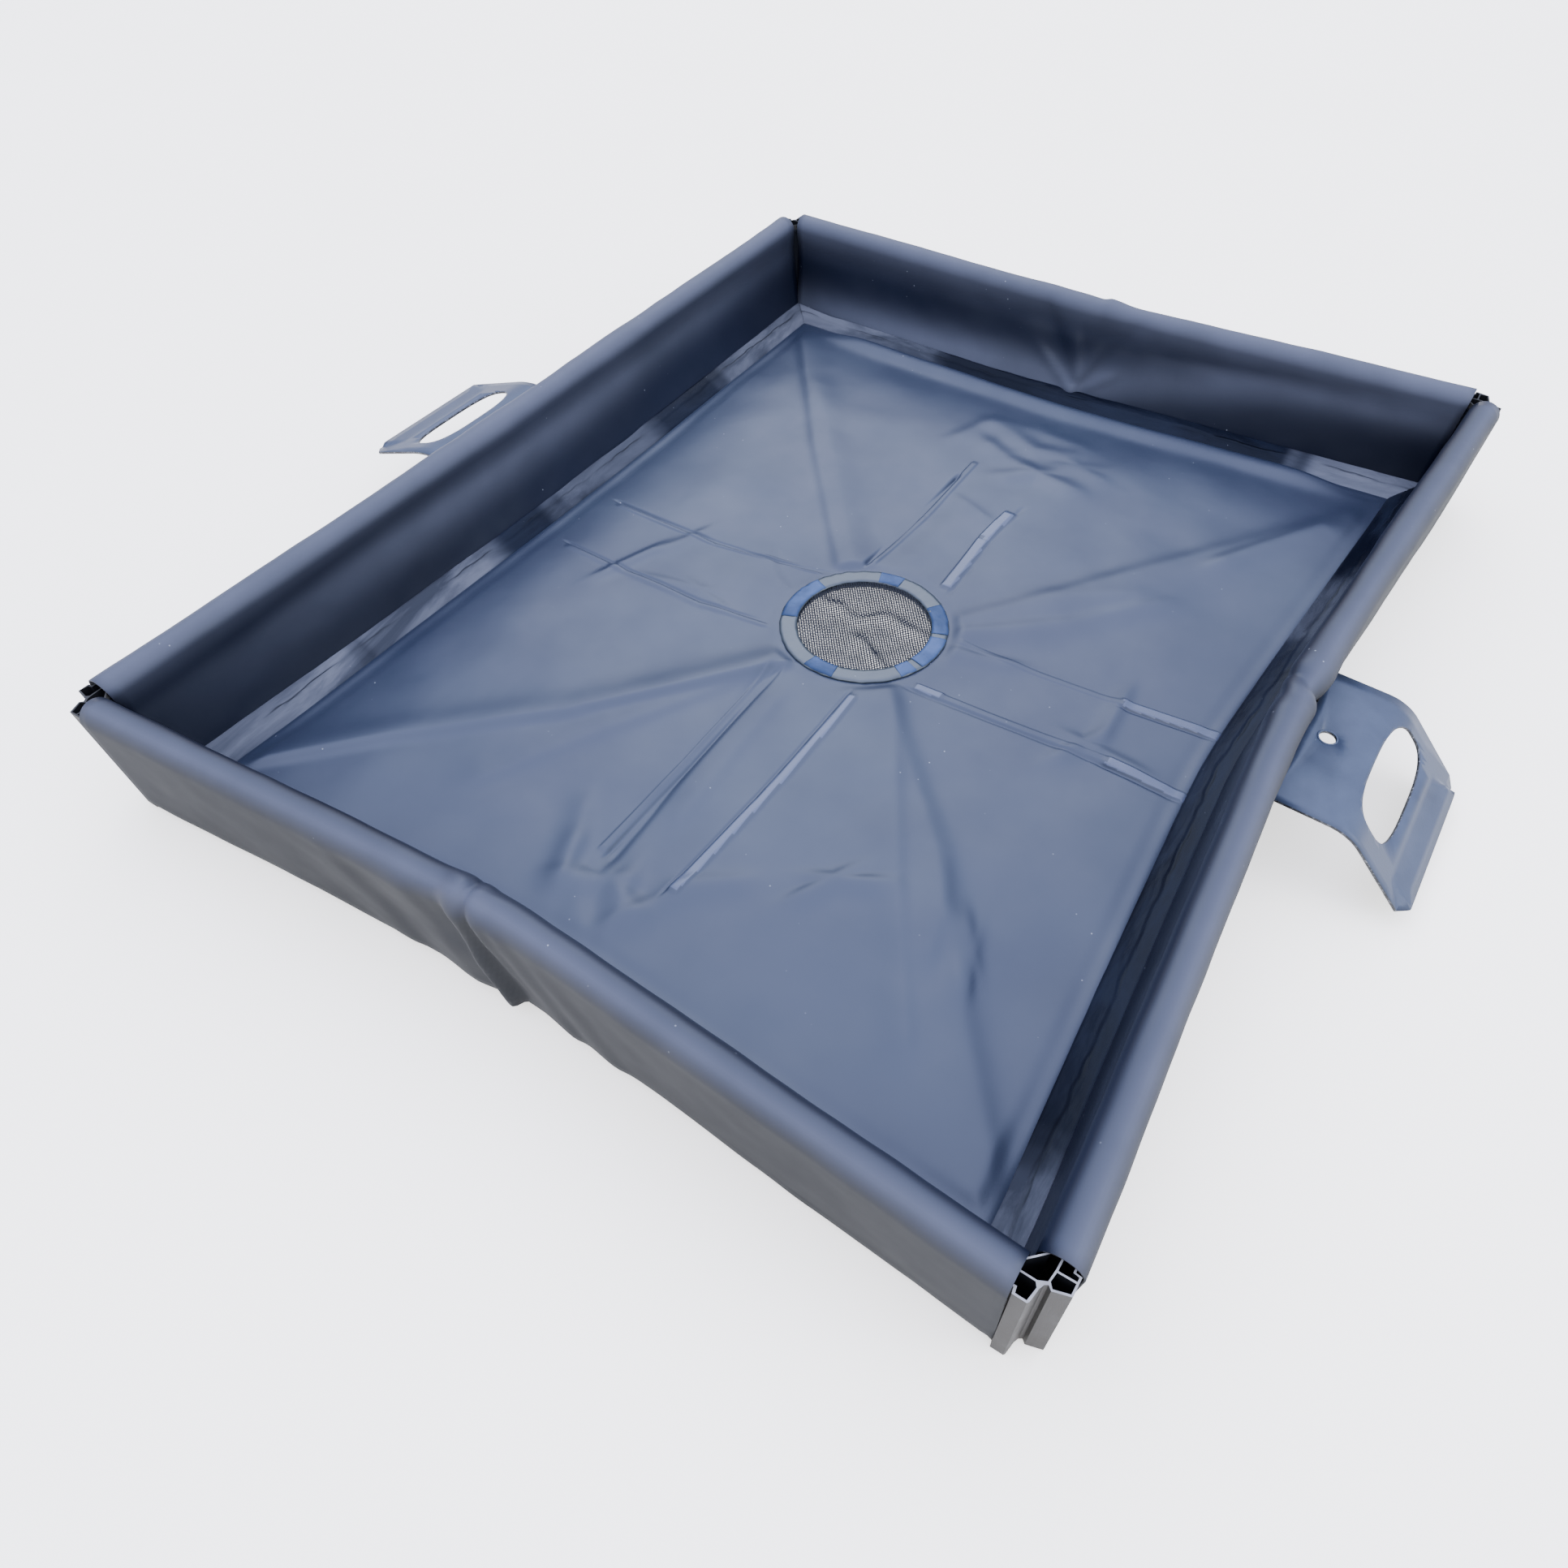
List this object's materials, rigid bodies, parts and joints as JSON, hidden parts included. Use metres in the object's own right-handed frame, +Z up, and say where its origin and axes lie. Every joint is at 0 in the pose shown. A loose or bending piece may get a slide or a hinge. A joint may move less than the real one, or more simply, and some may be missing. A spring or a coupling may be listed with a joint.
{
  "type": "oil drain pan",
  "caption": "Shallow soft-walled catch pan of coated cloth with a centre mesh strainer, hollow corner posts and swinging sheet-steel handles.",
  "frame": {"origin": "middle of the whole object's box, on the ground", "axes": "+Z up, +X across the pan to the right handle, +Y along the pan from the front wall to the back wall"},
  "size_m": [0.963, 0.934, 0.105],
  "materials": {
    "coated_cloth": "satin navy-grey coated cloth",
    "welded_tape": "glossy dark welded tape",
    "core_foam": "closed-cell foam",
    "post_plastic": "light warm grey extruded plastic",
    "drain_tape": "glossy blue-grey tape",
    "net": "fine grey woven net",
    "handle_paint": "blue-grey powder coat",
    "bracket_steel": "plain sheet steel",
    "pin_steel": "bright steel rod"
  },
  "bodies": {
    "pan": {"floor_liner": "coated_cloth", "drain_ring": "drain_tape", "drain_backing_ring": "drain_tape", "strainer_net": "net", "wall_wrap_front": "coated_cloth", "wall_core_front_a": "core_foam", "wall_core_front_b": "core_foam", "weld_strip_front": "welded_tape", "floor_sleeve_front": "coated_cloth", "wall_wrap_right": "coated_cloth", "wall_core_right_a": "core_foam", "wall_core_right_b": "core_foam", "weld_strip_right": "welded_tape", "floor_sleeve_right": "coated_cloth", "wall_wrap_back": "coated_cloth", "wall_core_back_a": "core_foam", "wall_core_back_b": "core_foam", "weld_strip_back": "welded_tape", "floor_sleeve_back": "coated_cloth", "wall_wrap_left": "coated_cloth", "wall_core_left_a": "core_foam", "wall_core_left_b": "core_foam", "weld_strip_left": "welded_tape", "floor_sleeve_left": "coated_cloth", "floor_batten_front": "bracket_steel", "floor_batten_back": "bracket_steel", "corner_post_front_left": "post_plastic", "corner_web_front_left": "coated_cloth", "corner_post_front_right": "post_plastic", "corner_web_front_right": "coated_cloth", "corner_post_back_left": "post_plastic", "corner_web_back_left": "coated_cloth", "corner_post_back_right": "post_plastic", "corner_web_back_right": "coated_cloth", "handle_bracket_left": "bracket_steel", "handle_pin_left": "pin_steel", "handle_bracket_right": "bracket_steel", "handle_pin_right": "pin_steel"},
    "handle_right": {"handle_right": "handle_paint"},
    "handle_left": {"handle_left": "handle_paint"}
  },
  "joints": [
    {"name": "handle_right_swing", "type": "hinge", "parent": "pan", "child": "handle_right", "pos_m": [0.3639, 0, 0.069], "axis": [0, -1, 0], "range_deg": [-5, 60]},
    {"name": "handle_left_swing", "type": "hinge", "parent": "pan", "child": "handle_left", "pos_m": [-0.3479, 0, 0.069], "axis": [0, 1, 0], "range_deg": [-8, 57]}
  ]
}
